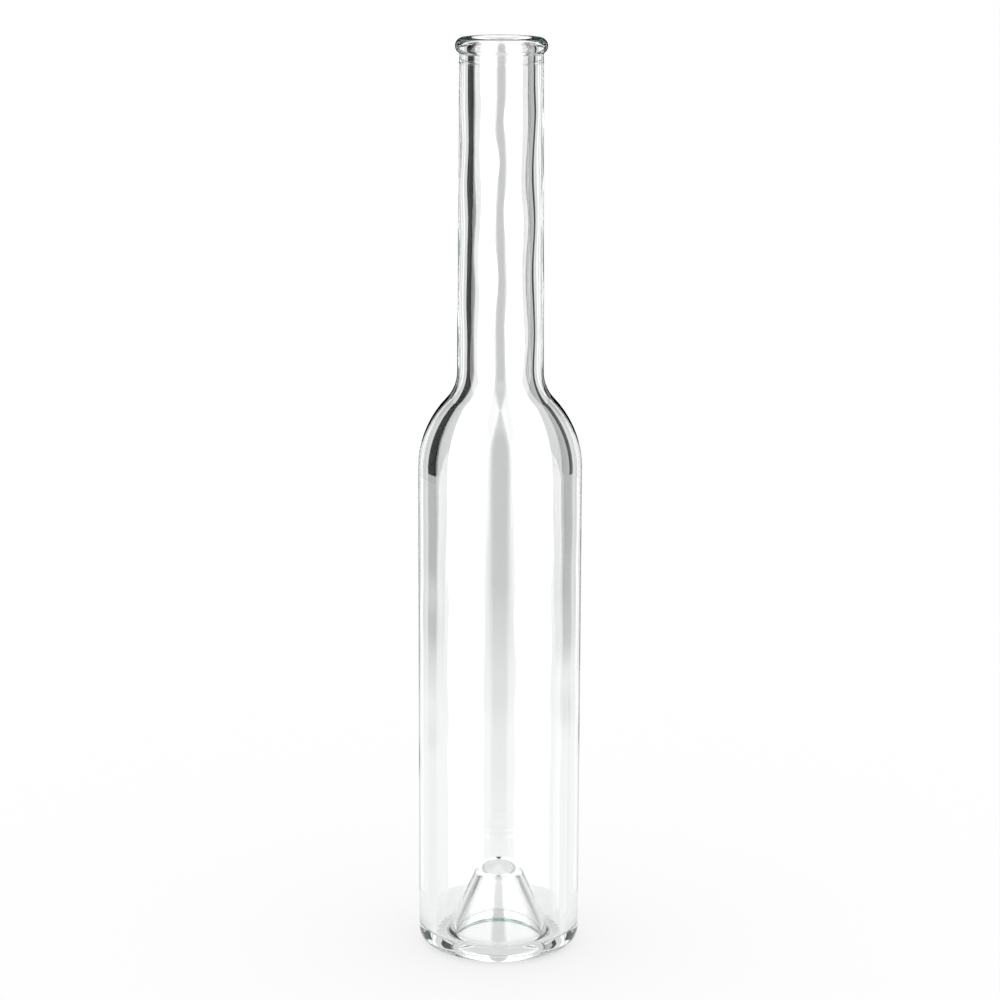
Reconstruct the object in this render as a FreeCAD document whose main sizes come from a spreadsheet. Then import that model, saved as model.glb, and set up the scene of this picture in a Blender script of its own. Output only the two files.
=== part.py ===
"""A clear long-neck glass bottle, blown in one piece, as a parametric FreeCAD document.

Millimetres, +Z up, origin on the table under the middle of the bottle.
The glass is one body: a revolved outside, a lip ring and a fine finish line, the
hollow inside, the punt pressed up into the foot, and a ring of short knurls.
"""

import FreeCAD, Part
import math
import os

import Sketcher

START, END, CENTRE = 1, 2, 3     # the points of a sketch line or arc
ORIGIN = (-1, START)             # the sketch's own origin
AXIS = -2                        # the sketch's upright axis, the bottle's own

# Driving dimensions, each written once and kept in the document's spreadsheet.
SIZES = [
    ("height", 310.7, "overall height, foot to top of lip"),
    ("body_radius", 27.5, "outside of the straight body"),
    ("body_wall", 5.8, "glass thickness of the straight body"),
    ("heel_radius", 5.0, "outside rounding from body to foot"),
    ("shoulder_height", 167.6, "where the straight body ends outside"),
    ("shoulder_radius", 33.6, "outside rounding of the shoulder"),
    ("shoulder_thickening", 0.8, "how much lower the shoulder starts inside"),
    ("inner_shoulder_radius", 33.6, "inside rounding of the shoulder"),
    ("neck_fillet_radius", 13.8, "outside hollow from shoulder to neck"),
    ("inner_fillet_radius", 20.0, "inside rounding from shoulder to bore"),
    ("neck_root_radius", 14.45, "outside of the neck at its foot"),
    ("neck_top_radius", 13.8, "outside of the neck at the finish line and above"),
    ("bore_radius", 9.25, "bore of neck and mouth, for a cork"),
    ("mouth_round", 1.2, "rounding of the mouth's inner edge"),
    ("lip_radius", 15.2, "outside of the lip ring"),
    ("lip_height", 5.4, "height of the lip ring, half round outside"),
    ("finish_drop", 8.0, "finish line, below the top"),
    ("finish_proud", 0.15, "how far the finish line stands out"),
    ("finish_round", 0.4, "radius of the finish line's own section"),
    ("floor_height", 5.0, "lowest place of the inside"),
    ("inner_heel_radius", 1.8, "inside rounding from body to floor"),
    ("valley_radius", 18.6, "where the floor turns up into the punt"),
    ("valley_round", 2.0, "inside rounding from floor to punt"),
    ("dome_height", 30.0, "top of the punt, inside"),
    ("dome_radius", 9.5, "rounding of the punt's top, inside"),
    ("punt_height", 24.6, "depth of the punt from below"),
    ("punt_mouth_radius", 16.6, "punt at the foot, before rounding"),
    ("punt_top_radius", 5.6, "flat top of the punt, before rounding"),
    ("punt_mouth_round", 1.4, "rounding between punt and foot"),
    ("punt_top_round", 2.8, "rounding under the punt's top"),
    ("knurl_count", 80, "hollows between the knurls, round the foot"),
    ("knurl_depth", 0.3, "depth of such a hollow"),
    ("knurl_width", 0.75, "width of such a hollow"),
    ("knurl_inner_radius", 18.9, "where the hollows begin"),
    ("knurl_outer_radius", 21.7, "where the hollows end"),
]
SIZE = {name: value for name, value, note in SIZES}


def fill_sheet(doc):
    """Writes every driving dimension into the sheet, one row each, and names its cell."""
    sheet = doc.addObject("Spreadsheet::Sheet", "sizes")
    for row, (name, value, note) in enumerate(SIZES, start=1):
        sheet.set(f"A{row}", name)
        sheet.set(f"B{row}", str(value))
        sheet.set(f"C{row}", note)
        sheet.setAlias(f"B{row}", name)
    doc.recompute()


def new_sketch(body, name, role):
    """An empty sketch on the body's own origin plane of this role."""
    support = next(item for item in body.Origin.OriginFeatures if item.Role == role)
    sketch = body.newObject("Sketcher::SketchObject", name)
    sketch.AttachmentSupport = [(support, "")]
    sketch.MapMode = "FlatFace"
    return sketch


def line(x0, y0, x1, y1):
    """A straight piece of an outline, with the points it is walked from and to."""
    ends = FreeCAD.Vector(x0, y0, 0), FreeCAD.Vector(x1, y1, 0)
    return Part.LineSegment(*ends), START, END


def circle(x, y, radius):
    """A full circle in the sketch's plane."""
    return Part.Circle(FreeCAD.Vector(x, y, 0), FreeCAD.Vector(0, 0, 1), radius)


def arc(x, y, radius, start, stop):
    """A round piece of an outline, walked from one angle to the other, in degrees."""
    low, high = sorted((math.radians(start), math.radians(stop)))
    walked = (START, END) if start < stop else (END, START)
    return (Part.ArcOfCircle(circle(x, y, radius), low, high), *walked)


def draw(sketch, pieces, smooth=(), level=(), upright=()):
    """Adds the pieces as one closed outline.

    The joint after each piece in smooth is tangent; the pieces in level and in
    upright are horizontal and vertical lines.
    """
    for geometry, first, last in pieces:
        sketch.addGeometry(geometry, False)
    for index, (geometry, first, last) in enumerate(pieces):
        after = (index + 1) % len(pieces)
        kind = "Tangent" if index in smooth else "Coincident"
        rule = Sketcher.Constraint(kind, index, last, after, pieces[after][1])
        sketch.addConstraint(rule)
    for index in level:
        sketch.addConstraint(Sketcher.Constraint("Horizontal", index))
    for index in upright:
        sketch.addConstraint(Sketcher.Constraint("Vertical", index))


def on_axis(sketch, geometry, point):
    """Keeps a point on the bottle's axis."""
    sketch.addConstraint(Sketcher.Constraint("PointOnObject", geometry, point, AXIS))


def bind(sketch, name, rule, formula):
    """Adds a dimension and ties it to the sheet."""
    sketch.renameConstraint(sketch.addConstraint(rule), name)
    sketch.setExpression("Constraints." + name, formula)


def across(sketch, name, geometry, point, value, formula):
    """Ties a point's distance from the axis to the sheet."""
    rule = Sketcher.Constraint("DistanceX", *ORIGIN, geometry, point, value)
    bind(sketch, name, rule, formula)


def above(sketch, name, geometry, point, value, formula):
    """Ties a point's height over the table to the sheet."""
    rule = Sketcher.Constraint("DistanceY", *ORIGIN, geometry, point, value)
    bind(sketch, name, rule, formula)


def radius(sketch, name, geometry, size):
    """Ties a circle's radius to one value of the sheet."""
    bind(sketch, name, Sketcher.Constraint("Radius", geometry, SIZE[size]), "sizes." + size)


def revolve(body, kind, name, sketch):
    """Turns a sketch once round the bottle's axis: kind is Revolution or Groove."""
    feature = body.newObject("PartDesign::" + kind, name)
    feature.Profile = sketch
    feature.ReferenceAxis = (sketch, ["V_Axis"])
    feature.Angle = 360.0
    body.Document.recompute()
    return feature


def ease_into_wall(centre_x, centre_y, round_radius, hollow_radius, wall_x):
    """Where a hollow arc lies that eases a shoulder's round into an upright wall.

    Gives the height of the hollow's centre and the angle at which the two arcs meet.
    """
    reach = round_radius + hollow_radius
    run = wall_x + hollow_radius - centre_x
    rise = math.sqrt(reach ** 2 - run ** 2)
    return centre_y + rise, math.degrees(math.atan2(rise, run))


def make_outside(body):
    """The outside from the foot up into the lip, filled to the axis."""
    wide, heel, turn = SIZE["body_radius"], SIZE["heel_radius"], SIZE["shoulder_radius"]
    start, ease = SIZE["shoulder_height"], SIZE["neck_fillet_radius"]
    root, top = SIZE["neck_root_radius"], SIZE["neck_top_radius"]
    finish = SIZE["height"] - SIZE["finish_drop"]
    end = SIZE["height"] - SIZE["lip_height"] / 2
    neck, meet = ease_into_wall(wide - turn, start, turn, ease, root)
    pieces = [
        line(0, 0, wide - heel, 0),
        arc(wide - heel, heel, heel, -90, 0),
        line(wide, heel, wide, start),
        arc(wide - turn, start, turn, 0, meet),
        arc(root + ease, neck, ease, 180 + meet, 180),
        line(root, neck, top, finish),
        line(top, finish, top, end),
        line(top, end, 0, end),
        line(0, end, 0, 0),
    ]
    sketch = new_sketch(body, "outside_outline", "XZ_Plane")
    draw(sketch, pieces, smooth=(0, 1, 2, 3, 4), level=(0, 7), upright=(2, 6, 8))
    sketch.addConstraint(Sketcher.Constraint("Coincident", 0, START, *ORIGIN))
    across(sketch, "body", 2, END, wide, "sizes.body_radius")
    above(sketch, "shoulder", 2, END, start, "sizes.shoulder_height")
    across(sketch, "neck_root", 5, START, root, "sizes.neck_root_radius")
    across(sketch, "neck_top", 5, END, top, "sizes.neck_top_radius")
    above(sketch, "finish", 5, END, finish, "sizes.height - sizes.finish_drop")
    above(sketch, "in_lip", 6, END, end, "sizes.height - sizes.lip_height / 2")
    radius(sketch, "heel", 1, "heel_radius")
    radius(sketch, "shoulder_round", 3, "shoulder_radius")
    radius(sketch, "neck_fillet", 4, "neck_fillet_radius")
    return revolve(body, "Revolution", "outside", sketch)


def make_lip(body):
    """The lip: a ring with a half-round outer side and a flat top."""
    top, tall = SIZE["height"], SIZE["lip_height"]
    edge = SIZE["lip_radius"] - tall / 2
    pieces = [
        line(0, top - tall, edge, top - tall),
        arc(edge, top - tall / 2, tall / 2, -90, 90),
        line(edge, top, 0, top),
        line(0, top, 0, top - tall),
    ]
    sketch = new_sketch(body, "lip_outline", "XZ_Plane")
    draw(sketch, pieces, smooth=(0, 1), level=(0, 2), upright=(3,))
    on_axis(sketch, 0, START)
    above(sketch, "top", 2, START, top, "sizes.height")
    above(sketch, "underside", 0, START, top - tall, "sizes.height - sizes.lip_height")
    across(sketch, "edge", 1, CENTRE, edge, "sizes.lip_radius - sizes.lip_height / 2")
    return revolve(body, "Revolution", "lip", sketch)


def make_finish_line(body):
    """The fine raised line round the neck where the neck ring met the mould."""
    middle = SIZE["neck_top_radius"] + SIZE["finish_proud"] - SIZE["finish_round"]
    level = SIZE["height"] - SIZE["finish_drop"]
    sketch = new_sketch(body, "finish_outline", "XZ_Plane")
    sketch.addGeometry(circle(middle, level, SIZE["finish_round"]), False)
    across(sketch, "middle", 0, CENTRE, middle,
           "sizes.neck_top_radius + sizes.finish_proud - sizes.finish_round")
    above(sketch, "level", 0, CENTRE, level, "sizes.height - sizes.finish_drop")
    radius(sketch, "section", 0, "finish_round")
    return revolve(body, "Revolution", "finish_line", sketch)


def make_inside(body):
    """The hollow: floor, dome over the punt, straight body, shoulder and bore."""
    wide = SIZE["body_radius"] - SIZE["body_wall"]
    turn, ease = SIZE["inner_shoulder_radius"], SIZE["inner_fillet_radius"]
    start = SIZE["shoulder_height"] - SIZE["shoulder_thickening"]
    bore, top, apex = SIZE["bore_radius"], SIZE["height"], SIZE["dome_height"]
    floor, heel, dome = SIZE["floor_height"], SIZE["inner_heel_radius"], SIZE["dome_radius"]
    foot, valley = SIZE["valley_radius"], SIZE["valley_round"]
    neck, meet = ease_into_wall(wide - turn, start, turn, ease, bore)
    fall = apex - dome - floor - valley
    slope = math.acos((dome + valley) / math.hypot(foot, fall)) - math.atan2(fall, foot)
    lean, slope_x, slope_y = math.degrees(slope), math.cos(slope), math.sin(slope)
    pieces = [
        arc(0, apex - dome, dome, 90, lean),
        line(dome * slope_x, apex - dome + dome * slope_y,
             foot - valley * slope_x, floor + valley - valley * slope_y),
        arc(foot, floor + valley, valley, 180 + lean, 270),
        line(foot, floor, wide - heel, floor),
        arc(wide - heel, floor + heel, heel, -90, 0),
        line(wide, floor + heel, wide, start),
        arc(wide - turn, start, turn, 0, meet),
        arc(bore + ease, neck, ease, 180 + meet, 180),
        line(bore, neck, bore, top),
        line(bore, top, 0, top),
        line(0, top, 0, apex),
    ]
    sketch = new_sketch(body, "inside_outline", "XZ_Plane")
    draw(sketch, pieces, smooth=range(8), level=(3, 9), upright=(5, 8, 10))
    on_axis(sketch, 10, END)
    on_axis(sketch, 0, CENTRE)
    above(sketch, "top", 8, END, top, "sizes.height")
    above(sketch, "apex", 10, END, apex, "sizes.dome_height")
    above(sketch, "floor", 3, START, floor, "sizes.floor_height")
    above(sketch, "shoulder", 5, END, start,
          "sizes.shoulder_height - sizes.shoulder_thickening")
    across(sketch, "bore", 8, END, bore, "sizes.bore_radius")
    across(sketch, "body", 5, END, wide, "sizes.body_radius - sizes.body_wall")
    across(sketch, "valley", 3, START, foot, "sizes.valley_radius")
    radius(sketch, "dome", 0, "dome_radius")
    radius(sketch, "valley_rounding", 2, "valley_round")
    radius(sketch, "heel", 4, "inner_heel_radius")
    radius(sketch, "shoulder_round", 6, "inner_shoulder_radius")
    radius(sketch, "neck_round", 7, "inner_fillet_radius")
    return revolve(body, "Groove", "inside", sketch)


def make_punt(body):
    """The cone pressed up into the foot, flat on top."""
    mouth, flat, deep = SIZE["punt_mouth_radius"], SIZE["punt_top_radius"], SIZE["punt_height"]
    pieces = [
        line(0, 0, mouth, 0),
        line(mouth, 0, flat, deep),
        line(flat, deep, 0, deep),
        line(0, deep, 0, 0),
    ]
    sketch = new_sketch(body, "punt_outline", "XZ_Plane")
    draw(sketch, pieces, level=(0, 2), upright=(3,))
    sketch.addConstraint(Sketcher.Constraint("Coincident", 0, START, *ORIGIN))
    across(sketch, "mouth", 0, END, mouth, "sizes.punt_mouth_radius")
    across(sketch, "flat", 1, END, flat, "sizes.punt_top_radius")
    above(sketch, "deep", 1, END, deep, "sizes.punt_height")
    return revolve(body, "Groove", "punt", sketch)


def round_edge(body, name, base, edge_radius, level, size):
    """Rounds the circular edge of this radius at this height by one value of the sheet."""
    def is_it(edge):
        if edge.Degenerated or not isinstance(edge.Curve, Part.Circle):
            return False
        off_radius = abs(edge.Curve.Radius - edge_radius)
        return max(off_radius, abs(edge.Curve.Center.z - level)) < 1e-4

    edges = [f"Edge{n}" for n, edge in enumerate(base.Shape.Edges, start=1) if is_it(edge)]
    fillet = body.newObject("PartDesign::Fillet", name)
    fillet.Base = (base, edges)
    fillet.Radius = SIZE[size]
    fillet.setExpression("Radius", "sizes." + size)
    body.Document.recompute()
    return fillet


def make_knurls(body):
    """The ring of short hollows in the foot; the knurls are what stands between them."""
    near, far, half = SIZE["knurl_inner_radius"], SIZE["knurl_outer_radius"], SIZE["knurl_width"] / 2
    pieces = [
        line(near, -half, far, -half),
        line(far, -half, far, half),
        line(far, half, near, half),
        line(near, half, near, -half),
    ]
    sketch = new_sketch(body, "knurl_outline", "XY_Plane")
    draw(sketch, pieces, level=(0, 2), upright=(1, 3))
    across(sketch, "inner", 2, END, near, "sizes.knurl_inner_radius")
    across(sketch, "outer", 2, START, far, "sizes.knurl_outer_radius")
    above(sketch, "half", 2, START, half, "sizes.knurl_width / 2")
    width = Sketcher.Constraint("DistanceY", 1, START, 1, END, 2 * half)
    bind(sketch, "width", width, "sizes.knurl_width")
    hollow = body.newObject("PartDesign::Pocket", "knurl")
    hollow.Profile = sketch
    hollow.Length = SIZE["knurl_depth"]
    hollow.setExpression("Length", "sizes.knurl_depth")
    hollow.Reversed = True
    body.Document.recompute()
    ring = body.newObject("PartDesign::PolarPattern", "knurls")
    ring.Originals = [hollow]
    ring.Axis = (sketch, ["N_Axis"])
    ring.Angle = 360.0
    ring.Occurrences = int(SIZE["knurl_count"])
    ring.setExpression("Occurrences", "sizes.knurl_count")
    body.Tip = ring
    body.Document.recompute()
    return ring


def make_bottle(doc):
    """The whole bottle as one body of glass; every step has to change its volume."""
    body = doc.addObject("PartDesign::Body", "bottle")
    body.Label = "bottle"
    steps = [make_outside(body), make_lip(body), make_finish_line(body)]
    steps += [make_inside(body), make_punt(body)]
    rounds = (
        ("mouth_edge", SIZE["bore_radius"], SIZE["height"], "mouth_round"),
        ("punt_mouth_edge", SIZE["punt_mouth_radius"], 0.0, "punt_mouth_round"),
        ("punt_top_edge", SIZE["punt_top_radius"], SIZE["punt_height"], "punt_top_round"),
    )
    for name, edge_radius, level, size in rounds:
        steps.append(round_edge(body, name, steps[-1], edge_radius, level, size))
    steps.append(make_knurls(body))
    for before, after in zip(steps, steps[1:]):
        if abs(after.Shape.Volume - before.Shape.Volume) < 1e-3:
            raise RuntimeError(f"{after.Name} left the glass as it was")
    return body


def check(doc, bodies):
    """Stops the script if any object failed or a body isn't one sound solid."""
    failed = [item.Name for item in doc.Objects if {"Invalid", "Error"} & set(item.State)]
    if failed:
        raise RuntimeError("failed objects: " + ", ".join(failed))
    for sketch in doc.findObjects("Sketcher::SketchObject"):
        if not sketch.FullyConstrained:
            raise RuntimeError(f"{sketch.Name} is not fully constrained")
    for body in bodies:
        shape = body.Shape
        if shape.isNull() or not shape.isValid() or len(shape.Solids) != 1:
            raise RuntimeError(f"{body.Label} is not one valid solid")


def main():
    doc = FreeCAD.newDocument("bottle")
    fill_sheet(doc)
    bodies = [make_bottle(doc)]
    doc.recompute()
    check(doc, bodies)
    os.makedirs("parts", exist_ok=True)
    for body in bodies:
        body.Shape.exportStep(f"parts/{body.Label}.step")
        box = body.Shape.optimalBoundingBox(True, False)
        print(f"{body.Label}: {box.XLength:.2f} x {box.YLength:.2f} x {box.ZLength:.2f} mm, "
              f"{body.Shape.Volume / 1000:.1f} cm3 of glass, {len(body.Shape.Faces)} faces")


main()
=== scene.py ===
"""The looks of the long-neck bottle: clear flint glass on a white table, in a white room.

Metres, +Z up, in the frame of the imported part. The bottle is one lathed piece of glass
that stands for the CAD node; it rides on the part's only body.
"""

import math

import bpy
from mathutils import Matrix, Vector


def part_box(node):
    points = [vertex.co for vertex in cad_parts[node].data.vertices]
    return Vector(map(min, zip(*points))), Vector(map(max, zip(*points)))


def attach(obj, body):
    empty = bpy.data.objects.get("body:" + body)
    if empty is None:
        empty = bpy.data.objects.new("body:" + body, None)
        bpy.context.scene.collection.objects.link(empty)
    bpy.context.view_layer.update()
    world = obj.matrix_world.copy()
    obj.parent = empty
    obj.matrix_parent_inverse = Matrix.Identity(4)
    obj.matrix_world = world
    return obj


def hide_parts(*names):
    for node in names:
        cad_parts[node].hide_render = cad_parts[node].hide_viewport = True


MM = 0.001

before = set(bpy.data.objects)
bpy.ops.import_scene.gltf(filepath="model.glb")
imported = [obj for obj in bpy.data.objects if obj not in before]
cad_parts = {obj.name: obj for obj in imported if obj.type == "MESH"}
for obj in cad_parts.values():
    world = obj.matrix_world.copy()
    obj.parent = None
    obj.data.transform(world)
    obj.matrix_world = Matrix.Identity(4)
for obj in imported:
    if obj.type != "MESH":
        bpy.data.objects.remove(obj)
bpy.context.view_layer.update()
LOW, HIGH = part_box("bottle")
HEIGHT = (HIGH.z - LOW.z) / MM
BODY_RADIUS = (HIGH.x - LOW.x) / 2 / MM

# The glass, in millimetres, as the part's source has it.
BODY_WALL = 5.8
HEEL_RADIUS = 5.0
SHOULDER_HEIGHT = 167.6
SHOULDER_RADIUS = 33.6
SHOULDER_THICKENING = 0.8
INNER_SHOULDER_RADIUS = 33.6
NECK_FILLET_RADIUS = 13.8
INNER_FILLET_RADIUS = 20.0
NECK_ROOT_RADIUS = 14.45
NECK_TOP_RADIUS = 13.8
BORE_RADIUS = 9.25
MOUTH_ROUND = 1.2
LIP_RADIUS = 15.2
LIP_HEIGHT = 5.4
FINISH_DROP = 8.0
FINISH_PROUD = 0.15
FINISH_ROUND = 0.4
FLOOR_HEIGHT = 5.0
INNER_HEEL_RADIUS = 1.8
VALLEY_RADIUS = 18.6
VALLEY_ROUND = 2.0
DOME_HEIGHT = 30.0
DOME_RADIUS = 9.5
PUNT_HEIGHT = 24.6
PUNT_MOUTH_RADIUS = 16.6
PUNT_TOP_RADIUS = 5.6
PUNT_MOUTH_ROUND = 1.4
PUNT_TOP_ROUND = 2.8
KNURL_COUNT = 80
KNURL_DEPTH = 0.3
KNURL_INNER = 18.9
KNURL_OUTER = 21.7

# The finish of the glass, which only this scene has, in millimetres but for one share.
UNDERLIP_ROUND = 0.6           # softening where the lip meets the neck
FINISH_EASE = 0.3              # softening each side of the finish line
KNURL_FADE = 0.25              # share of the ring's width in which a hollow runs out

# The unevenness left by blowing: its depth, and the heights where it fades in and out.
INSIDE_BODY_DEPTH, INSIDE_BODY_SPAN = 0.05, (35, 70, 150, 175)
INSIDE_NECK_DEPTH, INSIDE_NECK_SPAN = 0.12, (195, 215, 285, 298)
OUTSIDE_NECK_DEPTH, OUTSIDE_NECK_SPAN = 0.04, (200, 215, 285, 298)
# Its ripples: share of the depth, how many go round, and the rise that turns one by a
# radian, below nothing where it winds the other way.
INSIDE_RIPPLES = ((1.0, 2, 9.0), (0.6, 3, -5.5), (0.4, 1, 3.4))
OUTSIDE_RIPPLES = ((1.0, 3, 7.0), (0.5, 5, -4.2))
SLOW_RISE, SLOW_START = 16.0, 0.5    # the first ripple inside comes and goes with height

# The rough skin on the lower heel: its depth, the radii where it fades in and out, and its
# bumps: how many go round, how far they sway in radians, and how often.
HEEL_ROUGH, HEEL_SKIN = 0.12, (22.6, 23.1, 24.4, 25.4)
HEEL_BUMPS = ((37, 2.5, 5), (61, 3.0, 3))
HEEL_FURROWS = 4.0             # radians to a millimetre of radius, for the finer bumps

SEGMENTS = 240                 # round the bottle
FOOT_SEGMENTS = 720            # round the foot and the lower heel, nine to each knurl
HEEL_SPLIT = -50               # degrees down the heel's round, where that finer mesh starts
FOOT_RINGS = 12                # across the knurls
BEND_STEP = 5.0                # degrees of an outline's round that one facet takes
RUN_STEP = 4.5                 # millimetres of a straight stretch that one facet takes
SAME_PLACE = 1e-6              # millimetres within which two points are one
SLOPE_STEP = 1e-3              # millimetres or radians over which a lift's slope is read


def linear(code):
    """A colour written as sRGB hex, as the linear values that the renderer works in."""
    parts = [int(code[i:i + 2], 16) / 255 for i in (1, 3, 5)]
    return [c / 12.92 if c <= 0.04045 else ((c + 0.055) / 1.055) ** 2.4 for c in parts] + [1.0]


def add_node(tree, kind, inputs=None, links=None, **settings):
    """Adds a node with its own settings. inputs gives values by an input's name or number,
    and links the outputs that feed them."""
    node = tree.nodes.new(kind)
    for name, value in settings.items():
        setattr(node, name, value)
    for name, value in (inputs or {}).items():
        node.inputs[name].default_value = value
    for name, output in (links or {}).items():
        tree.links.new(output, node.inputs[name])
    return node


def empty_tree(owner):
    """The owner's node tree, cleared."""
    owner.use_nodes = True
    owner.node_tree.nodes.clear()
    return owner.node_tree


def add_piece(name, places, faces, material):
    """A mesh piece in the scene, of one material."""
    mesh = bpy.data.meshes.new(name)
    mesh.from_pydata(places, [], faces)
    mesh.update()
    mesh.materials.append(material)
    piece = bpy.data.objects.new(name, mesh)
    bpy.context.scene.collection.objects.link(piece)
    return piece


def circle(radius, z):
    """Points round the bottle's axis, in metres."""
    turns = [2 * math.pi * i / SEGMENTS for i in range(SEGMENTS)]
    return [(radius * math.cos(t), radius * math.sin(t), z) for t in turns]


# ---- the outline of the glass, in millimetres ---------------------------------------

def add_round(outline, x, z, radius, start, stop):
    """Walks a round of the outline from one angle to the other, in degrees.

    Every point of an outline is its place and the direction it is walked in. A round that
    starts where the last one stopped shares that point with it.
    """
    steps = max(2, math.ceil(abs(stop - start) / BEND_STEP))
    way = math.copysign(1.0, stop - start)
    for i in range(steps + 1):
        t = math.radians(start + (stop - start) * i / steps)
        point = (x + radius * math.cos(t), z + radius * math.sin(t),
                 -way * math.sin(t), way * math.cos(t))
        if not outline or math.dist(point[:2], outline[-1][:2]) > SAME_PLACE:
            outline.append(point)


def add_run(outline, x0, z0, x1, z1):
    """Walks a straight stretch, leaving out its ends, which the rounds there give."""
    length = math.hypot(x1 - x0, z1 - z0)
    count = max(1, round(length / RUN_STEP))
    for i in range(1, count):
        outline.append((x0 + (x1 - x0) * i / count, z0 + (z1 - z0) * i / count,
                        (x1 - x0) / length, (z1 - z0) / length))


def ease(centre_x, centre_z, turn, hollow, wall_x):
    """How far a hollow's centre lies above the round that it eases into a wall, and
    the angle at which the two meet, in degrees."""
    across = wall_x + hollow - centre_x
    rise = math.sqrt((turn + hollow) ** 2 - across ** 2)
    return rise, math.degrees(math.atan2(rise, across))


def inside_outline():
    """From the top of the punt's dome out over the floor and up to the mouth."""
    wide, start = BODY_RADIUS - BODY_WALL, SHOULDER_HEIGHT - SHOULDER_THICKENING
    middle = DOME_HEIGHT - DOME_RADIUS
    fall = middle - FLOOR_HEIGHT - VALLEY_ROUND
    slope = (math.acos((DOME_RADIUS + VALLEY_ROUND) / math.hypot(VALLEY_RADIUS, fall))
             - math.atan2(fall, VALLEY_RADIUS))
    lean, c, s = math.degrees(slope), math.cos(slope), math.sin(slope)
    rise, meet = ease(wide - INNER_SHOULDER_RADIUS, start, INNER_SHOULDER_RADIUS,
                      INNER_FILLET_RADIUS, BORE_RADIUS)
    valley_z = FLOOR_HEIGHT + VALLEY_ROUND
    out = []
    add_round(out, 0, middle, DOME_RADIUS, 90, lean)
    add_run(out, DOME_RADIUS * c, middle + DOME_RADIUS * s,
            VALLEY_RADIUS - VALLEY_ROUND * c, valley_z - VALLEY_ROUND * s)
    add_round(out, VALLEY_RADIUS, valley_z, VALLEY_ROUND, 180 + lean, 270)
    add_round(out, wide - INNER_HEEL_RADIUS, FLOOR_HEIGHT + INNER_HEEL_RADIUS,
              INNER_HEEL_RADIUS, -90, 0)
    add_run(out, wide, FLOOR_HEIGHT + INNER_HEEL_RADIUS, wide, start)
    add_round(out, wide - INNER_SHOULDER_RADIUS, start, INNER_SHOULDER_RADIUS, 0, meet)
    add_round(out, BORE_RADIUS + INNER_FILLET_RADIUS, start + rise, INNER_FILLET_RADIUS,
              180 + meet, 180)
    add_run(out, BORE_RADIUS, start + rise, BORE_RADIUS, HEIGHT - MOUTH_ROUND)
    return out


def outside_outline():
    """From the mouth's edge over the lip and down the outside to the foot."""
    half, finish = LIP_HEIGHT / 2, HEIGHT - FINISH_DROP
    lip_x, lip_z = LIP_RADIUS - half, HEIGHT - half
    out = []
    add_round(out, BORE_RADIUS + MOUTH_ROUND, HEIGHT - MOUTH_ROUND, MOUTH_ROUND, 180, 90)
    drop, meet = ease(lip_x, lip_z, half, UNDERLIP_ROUND, NECK_TOP_RADIUS)
    add_round(out, lip_x, lip_z, half, 90, -meet)
    add_round(out, NECK_TOP_RADIUS + UNDERLIP_ROUND, lip_z - drop, UNDERLIP_ROUND,
              180 - meet, 180)
    bead_x = NECK_TOP_RADIUS + FINISH_PROUD - FINISH_ROUND
    rise, meet = ease(bead_x, finish, FINISH_ROUND, FINISH_EASE, NECK_TOP_RADIUS)
    ease_x = NECK_TOP_RADIUS + FINISH_EASE
    add_round(out, ease_x, finish + rise, FINISH_EASE, 180, 180 + meet)
    add_round(out, bead_x, finish, FINISH_ROUND, meet, -meet)
    add_round(out, ease_x, finish - rise, FINISH_EASE, 180 - meet, 180)
    turn_x = BODY_RADIUS - SHOULDER_RADIUS
    rise, meet = ease(turn_x, SHOULDER_HEIGHT, SHOULDER_RADIUS, NECK_FILLET_RADIUS,
                      NECK_ROOT_RADIUS)
    add_run(out, NECK_TOP_RADIUS, finish, NECK_ROOT_RADIUS, SHOULDER_HEIGHT + rise)
    add_round(out, NECK_ROOT_RADIUS + NECK_FILLET_RADIUS, SHOULDER_HEIGHT + rise,
              NECK_FILLET_RADIUS, 180, 180 + meet)
    add_round(out, turn_x, SHOULDER_HEIGHT, SHOULDER_RADIUS, meet, 0)
    add_run(out, BODY_RADIUS, SHOULDER_HEIGHT, BODY_RADIUS, HEEL_RADIUS)
    add_round(out, BODY_RADIUS - HEEL_RADIUS, HEEL_RADIUS, HEEL_RADIUS, 0, HEEL_SPLIT)
    return out


def foot_outline():
    """Round the lower heel and along the foot inward over the knurled ring."""
    step = (KNURL_OUTER - KNURL_INNER) / FOOT_RINGS
    out = []
    add_round(out, BODY_RADIUS - HEEL_RADIUS, HEEL_RADIUS, HEEL_RADIUS,
              HEEL_SPLIT - BEND_STEP, -90)
    return out + [(KNURL_OUTER - step * i, 0, -1, 0) for i in range(FOOT_RINGS + 1)]


def punt_outline():
    """From the foot up the punt's cone to the middle of its flat top."""
    steep = math.atan2(PUNT_HEIGHT, PUNT_MOUTH_RADIUS - PUNT_TOP_RADIUS)
    turn, c, s = math.degrees(steep), math.cos(steep), math.sin(steep)
    low_x = PUNT_MOUTH_RADIUS + PUNT_MOUTH_ROUND * math.tan(steep / 2)
    high_x = PUNT_TOP_RADIUS - PUNT_TOP_ROUND * math.tan(steep / 2)
    high_z = PUNT_HEIGHT - PUNT_TOP_ROUND
    out = []
    add_round(out, low_x, PUNT_MOUTH_ROUND, PUNT_MOUTH_ROUND, -90, -90 - turn)
    add_run(out, low_x - PUNT_MOUTH_ROUND * s, PUNT_MOUTH_ROUND * (1 - c),
            high_x + PUNT_TOP_ROUND * s, high_z + PUNT_TOP_ROUND * c)
    add_round(out, high_x, high_z, PUNT_TOP_ROUND, 90 - turn, 90)
    return out


# ---- the glass as a mesh ------------------------------------------------------------

def plain(angle, radius, z):
    """The lift of a surface that is as true as its outline."""
    return 0.0


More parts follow.
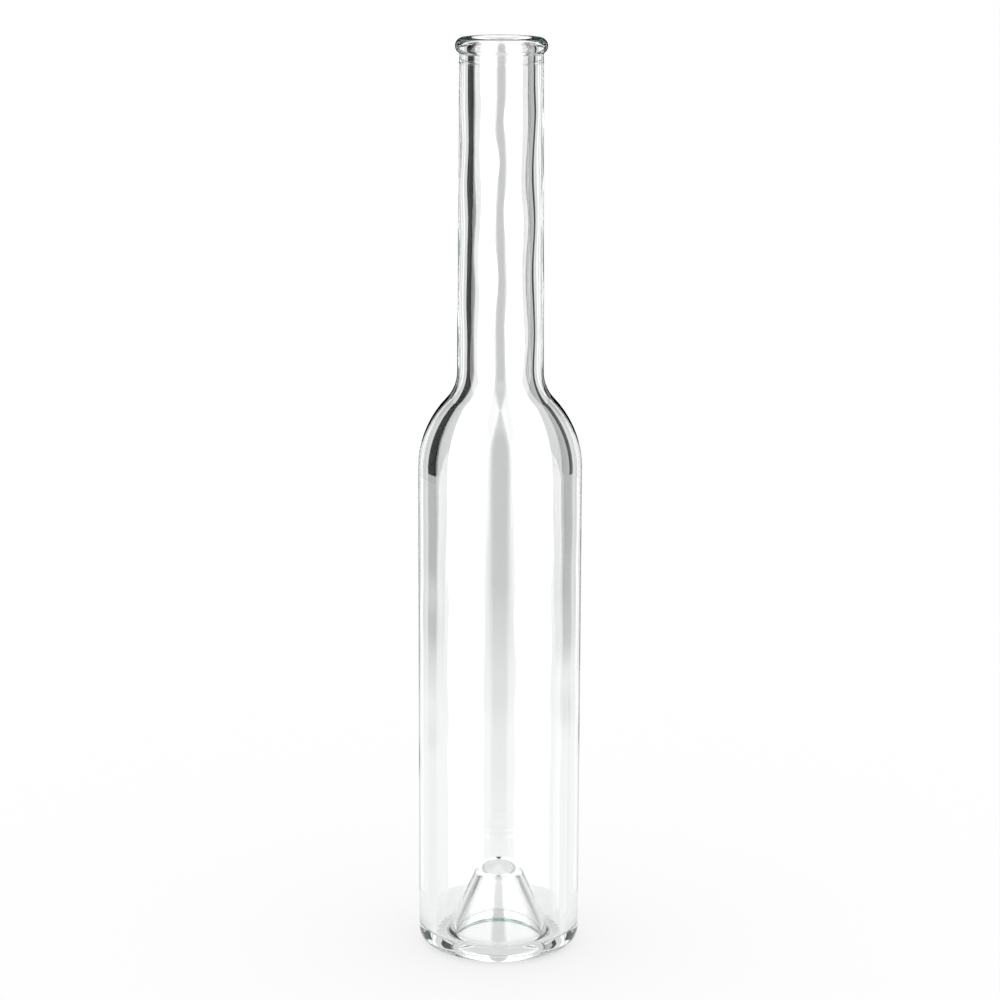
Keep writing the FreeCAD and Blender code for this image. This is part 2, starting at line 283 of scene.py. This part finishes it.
def swell(value, low, high):
    """0 up to low, 1 from high on, and smooth between them."""
    share = max(0.0, min(1.0, (value - low) / (high - low)))
    return share * share * (3 - 2 * share)


def between(value, span):
    """1 between the middle two values of the span, fading to 0 at its ends."""
    start, full, fading, end = span
    return swell(value, start, full) * (1 - swell(value, fading, end))


def ripples(angle, z, kinds):
    """The height of each kind of ripple at a place on the glass."""
    return [share * math.sin(count * angle + z / rise) for share, count, rise in kinds]


def blown_inside(angle, radius, z):
    """The lift of the inside, which blowing leaves a little uneven, most in the neck."""
    depth = (INSIDE_BODY_DEPTH * between(z, INSIDE_BODY_SPAN)
             + INSIDE_NECK_DEPTH * between(z, INSIDE_NECK_SPAN))
    first, *others = ripples(angle, z, INSIDE_RIPPLES)
    return depth * (first * math.sin(z / SLOW_RISE + SLOW_START) + sum(others))


def blown_outside(angle, radius, z):
    """The lift of the outside of the neck; the mould keeps it nearly true."""
    depth = OUTSIDE_NECK_DEPTH * between(z, OUTSIDE_NECK_SPAN)
    return depth * sum(ripples(angle, z, OUTSIDE_RIPPLES))


def knurls(angle, radius, z):
    """The lift of the foot: below nothing in the hollows between the knurls."""
    along = (radius - KNURL_INNER) / (KNURL_OUTER - KNURL_INNER)
    ends = max(0.0, min(1.0, along / KNURL_FADE, (1 - along) / KNURL_FADE))
    hollow = max(0.0, math.cos(KNURL_COUNT * angle)) ** 2
    return -KNURL_DEPTH * math.sin(math.pi / 2 * ends) * hollow


def heel_skin(angle, radius, z):
    """The lift of the lower heel, which has a rough skin from the mould's bottom plate."""
    coarse, fine = [math.sin(count * angle + sway * math.sin(times * angle))
                    for count, sway, times in HEEL_BUMPS]
    rough = coarse + math.sin(HEEL_FURROWS * radius) * fine
    return -HEEL_ROUGH * between(radius, HEEL_SKIN) * (1 + rough / len(HEEL_BUMPS))


def foot_lift(angle, radius, z):
    """The lift of the foot and of the lower heel round it."""
    return knurls(angle, radius, z) + heel_skin(angle, radius, z)


def ring(point, count, lift):
    """One ring of the lathe as places and normals; lift moves it out of the glass.

    The glass lies right of the walk, so out of the glass is to its left.
    """
    radius, z, way_x, way_z = point
    out_x, out_z, small = -way_z, way_x, SLOPE_STEP
    places, normals = [], []
    for i in range(count):
        angle = 2 * math.pi * i / count
        up = lift(angle, radius, z)
        turned = (lift(angle + small, radius, z) - up) / small / max(radius, 1.0)
        walked = (lift(angle, radius + small * way_x, z + small * way_z) - up) / small
        c, s = math.cos(angle), math.sin(angle)
        x, y = radius + up * out_x, z + up * out_z
        places.append((x * c * MM, x * s * MM, y * MM))
        x = out_x - walked * way_x
        normals.append((x * c + turned * s, x * s - turned * c, out_z - walked * way_z))
    return places, normals


def bridge(low, low_count, high, high_count):
    """Faces between two rings; one may have a whole number of times the other's points."""
    faces = []
    if low_count == 1 or high_count == 1:
        pole, rim, count = ((low, high, high_count) if low_count == 1
                            else (high, low, low_count))
        for i in range(count):
            pair = (rim + i, rim + (i + 1) % count)
            faces.append((pole, *(pair if high_count == 1 else reversed(pair))))
        return faces
    count = min(low_count, high_count)
    a, b = low_count // count, high_count // count
    for i in range(count):
        first = [low + (i * a + k) % low_count for k in range(a + 1)]
        second = [high + (i * b + k) % high_count for k in range(b + 1)]
        faces.append((*second, *reversed(first)))
    return faces


def lathe(name, material, stretches):
    """A closed piece turned from its outline's stretches: points, ring count, lift."""
    places, normals, faces, last = [], [], [], None
    for outline, count, lift in stretches:
        for point in outline:
            here = (len(places), 1 if point[0] < SAME_PLACE else count)
            made = ring(point, here[1], lift)
            places += made[0]
            normals += made[1]
            if last:
                faces += bridge(*last, *here)
            last = here
    piece = add_piece(name, places, faces, material)
    piece.data.shade_smooth()
    piece.data.normals_split_custom_set_from_vertices(
        [Vector(n).normalized() for n in normals])
    return piece


# ---- materials ----------------------------------------------------------------------

WHITE = "#ffffff"
GLASS_IOR = 1.52
GLASS_TINT = "#dbe4e1"         # what this lacks of white is what the glass soaks up,
GLASS_DENSITY = 20.0           # this many times over in each metre
TABLE_MATT = "#898989"         # the part of its white that a shadow can take from the table


def flint_glass():
    """Soda-lime flint glass, fire polished: clear and sharp, with a trace of iron green
    where it is thick."""
    material = bpy.data.materials.new("soda_lime_flint_glass")
    tree = empty_tree(material)
    shader = add_node(tree, "ShaderNodeBsdfPrincipled",
                      {"Base Color": linear(WHITE), "Roughness": 0.0, "IOR": GLASS_IOR,
                       "Transmission Weight": 1.0})
    inside = add_node(tree, "ShaderNodeVolumeAbsorption",
                      {"Color": linear(GLASS_TINT), "Density": GLASS_DENSITY})
    add_node(tree, "ShaderNodeOutputMaterial",
             links={"Surface": shader.outputs["BSDF"], "Volume": inside.outputs["Volume"]})
    return material


def glow(name, low, high, span):
    """A card's material: black at 0, a light above it, shaded over a span of heights."""
    material = bpy.data.materials.new(name)
    tree = empty_tree(material)
    place = add_node(tree, "ShaderNodeTexCoord")
    split = add_node(tree, "ShaderNodeSeparateXYZ", links={0: place.outputs["Object"]})
    level = add_node(tree, "ShaderNodeMapRange", {1: span[0], 2: span[1], 3: low, 4: high},
                     {0: split.outputs["Z"]}, interpolation_type="SMOOTHSTEP")
    shader = add_node(tree, "ShaderNodeEmission", links={"Strength": level.outputs[0]})
    add_node(tree, "ShaderNodeOutputMaterial", links={"Surface": shader.outputs["Emission"]})
    material.cycles.emission_sampling = "NONE"
    return material


def table_white():
    """White laminate: matt, as bright as the room, and it takes only a faint shadow."""
    material = bpy.data.materials.new("white_laminate_table")
    tree = empty_tree(material)
    matt = linear(TABLE_MATT)
    shaded = add_node(tree, "ShaderNodeBsdfDiffuse", {"Color": matt})
    lit = add_node(tree, "ShaderNodeEmission", {"Strength": 1.0 - matt[0]})
    both = add_node(tree, "ShaderNodeAddShader",
                    links={0: shaded.outputs["BSDF"], 1: lit.outputs["Emission"]})
    add_node(tree, "ShaderNodeOutputMaterial", links={"Surface": both.outputs["Shader"]})
    material.cycles.emission_sampling = "NONE"
    return material


# ---- the bottle ---------------------------------------------------------------------

glass = lathe("glass_bottle", flint_glass(), [
    (inside_outline(), SEGMENTS, blown_inside),
    (outside_outline(), SEGMENTS, blown_outside),
    (foot_outline(), FOOT_SEGMENTS, foot_lift),
    (punt_outline(), SEGMENTS, plain),
])
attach(glass, "root")
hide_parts("bottle")

# ---- the room -----------------------------------------------------------------------

world = bpy.data.worlds.new("white_room")
bpy.context.scene.world = world
room = empty_tree(world)
white = add_node(room, "ShaderNodeBackground", {"Color": linear(WHITE), "Strength": 1.0})
add_node(room, "ShaderNodeOutputWorld", links={"Surface": white.outputs["Background"]})

# The glass sees a small white stand under the bottle and, beyond it, the white room; the
# table reaches on in every direction for the eye alone.
STAND_RADIUS = 0.06
TABLE_RADIUS = 20.0


def ring_faces(count):
    """The faces between two circles of places, the outer one first."""
    return [(i, (i + 1) % count, (i + 1) % count + count, i + count) for i in range(count)]


stand = add_piece("stand", circle(STAND_RADIUS, 0), [tuple(range(SEGMENTS))], table_white())
table = add_piece("table", circle(TABLE_RADIUS, 0) + circle(STAND_RADIUS, 0),
                  ring_faces(SEGMENTS), table_white())
table.visible_glossy = table.visible_transmission = False

# ---- the camera ---------------------------------------------------------------------

CAMERA_DISTANCE = 0.9974       # metres in front of the bottle's axis
CAMERA_HEIGHT = 0.3828         # metres over the table
CAMERA_DIP = 12.8              # degrees that it looks down
CAMERA_ROLL = 0.2              # degrees
CAMERA_LENS = 109.3            # millimetres, on a sensor 36 mm wide

camera = bpy.data.objects.new("camera", bpy.data.cameras.new("camera"))
bpy.context.scene.collection.objects.link(camera)
bpy.context.scene.camera = camera
camera.data.lens = CAMERA_LENS
camera.data.sensor_width = 36.0
camera.matrix_world = (Matrix.Translation((0, -CAMERA_DISTANCE, CAMERA_HEIGHT))
                       @ Matrix.Rotation(math.radians(90 - CAMERA_DIP), 4, "X")
                       @ Matrix.Rotation(math.radians(CAMERA_ROLL), 4, "Z"))
bpy.context.view_layer.update()

# ---- the cards and lights round the bottle ------------------------------------------
# They stand where a photographer puts them for clear glass: dark cards beside a white
# backdrop draw the edges, soft lights at the sides fill the rest. The camera carries
# them, so that the bottle is lit alike from every side, as on a turntable.

# Turns are in degrees from straight behind the bottle, and right is above nothing.
# Heights and distances are in metres. A card is shaded from its low level, at CARD_LOW
# and below, to its high one, at CARD_HIGH and above. The dark cards end at DARK_BOTTOM.
CARD_LOW, CARD_HIGH = -0.12, 0.0
DARK_BOTTOM = 0.036
CARD_BOTTOM, CARD_TOP = -0.8, 1.2
CARD_DISTANCE = 0.60
CARD_STEP = 3.0                # degrees that one facet of a card takes

# Name, first and last turn, bottom and top, low level, high level.
CARDS = [
    ("backdrop", -3, 3, CARD_BOTTOM, CARD_TOP, 1.0, 0.72),
    ("bright_left", -17, -3, CARD_BOTTOM, CARD_TOP, 1.12, 1.3),
    ("bright_right", 3, 17, CARD_BOTTOM, CARD_TOP, 1.12, 1.3),
    ("pale_left", -37, -17, CARD_BOTTOM, CARD_TOP, 1.0, 0.78),
    ("pale_right", 17, 35, CARD_BOTTOM, CARD_TOP, 1.0, 0.78),
    ("dark_left", -80, -37, DARK_BOTTOM, CARD_TOP, 0.0, 0.0),
    ("dark_right", 35, 46, DARK_BOTTOM, CARD_TOP, 0.0, 0.0),
    ("grey_right", 46, 66, DARK_BOTTOM, CARD_TOP, 0.5, 0.5),
    ("low_left", -80, -37, CARD_BOTTOM, DARK_BOTTOM, 0.95, 0.50),
    ("low_right", 35, 66, CARD_BOTTOM, DARK_BOTTOM, 0.95, 0.50),
    ("dim_left", -99, -80, CARD_BOTTOM, CARD_TOP, 1.4, 0.3),
    ("dim_right", 66, 99, CARD_BOTTOM, CARD_TOP, 1.4, 0.3),
]
# A dark strip close behind the bottle that only its outer face mirrors; it draws the rim.
RIM_TURN = 25
RIM_DISTANCE = 0.50
RIM_LEVELS = 0.6, 0.0

# The big lights: heights, the turn at which they end there on either side, and half the
# turn of the dark slit between them in front.
LIGHT_DISTANCE = 0.30
LIGHT_LEVELS = 1.0, 4.0
LIGHT_SPAN = 0.0, 0.12         # they fade toward the table
LIGHT_EDGES = [(-0.8, 83, 13), (0.04, 83, 13), (0.25, 102, 13), (0.32, 107, 12),
               (0.385, 113, 8.5), (0.50, 117, 6.3), (0.75, 118, 1.8), (1.25, 118, 0.3)]
BORDER_TURN = 5                # a paler border of the lights, along the slit
BORDER_LEVELS = 1.5, 1.0
SLIT_LEVELS = 1.3, 0.0

TOP_HEIGHT = 1.6
TOP_RADIUS = 0.45
TOP_LEVEL = 4.0


def carry(name, places, faces, low, high, span=(CARD_LOW, CARD_HIGH)):
    """A shape lit from within that only the glass sees, carried by the camera."""
    piece = add_piece(name, places, faces, glow(name, low, high, span))
    piece.visible_camera = piece.visible_diffuse = piece.visible_shadow = False
    piece.visible_volume_scatter = False
    piece.parent = camera
    piece.matrix_parent_inverse = camera.matrix_world.inverted()
    return piece


def card(name, distance, rows, low, high, **shading):
    """A card bent round the bottle. Each row is a height, and its first and last turn."""
    count = math.ceil(max(last - first for z, first, last in rows) / CARD_STEP)
    places = []
    for z, first, last in rows:
        turns = [math.radians(first + (last - first) * i / count) for i in range(count + 1)]
        places += [(distance * math.sin(t), distance * math.cos(t), z) for t in turns]
    faces = [(k, k + 1, k + count + 2, k + count + 1) for k in range(len(places) - count - 1)
             if (k + 1) % (count + 1)]
    return carry(name, places, faces, low, high, **shading)


for name, first, last, bottom, top, low, high in CARDS:
    card(name, CARD_DISTANCE, [(bottom, first, last), (top, first, last)], low, high)
rim = card("rim", RIM_DISTANCE, [(z, -RIM_TURN, RIM_TURN) for z in (CARD_BOTTOM, CARD_TOP)],
           *RIM_LEVELS)
rim.visible_transmission = False
for side, way in (("left", -1), ("right", 1)):
    light, border = [], []
    for z, end, half in LIGHT_EDGES:
        slit = 180 - half
        light.append((z, *sorted((way * end, way * (slit - BORDER_TURN)))))
        border.append((z, *sorted((way * (slit - BORDER_TURN), way * slit))))
    card("light_" + side, LIGHT_DISTANCE, light, *LIGHT_LEVELS, span=LIGHT_SPAN)
    card("border_" + side, LIGHT_DISTANCE, border, *BORDER_LEVELS)
card("dark_front", LIGHT_DISTANCE,
     [(z, 180 - half, 180 + half) for z, end, half in LIGHT_EDGES], *SLIT_LEVELS)
carry("overhead", circle(TOP_RADIUS, TOP_HEIGHT), [tuple(range(SEGMENTS))],
      TOP_LEVEL, TOP_LEVEL)

# ---- the view -----------------------------------------------------------------------

GLASS_BOUNCES = 32             # a ray through the bottle meets many faces of glass
MIRROR_BOUNCES = 24            # and runs on between the two faces of its wall

scene = bpy.context.scene
scene.view_settings.view_transform = "Standard"
scene.cycles.max_bounces = scene.cycles.transmission_bounces = GLASS_BOUNCES
scene.cycles.glossy_bounces = MIRROR_BOUNCES
scene.cycles.caustics_reflective = scene.cycles.caustics_refractive = False

bpy.context.view_layer.update()
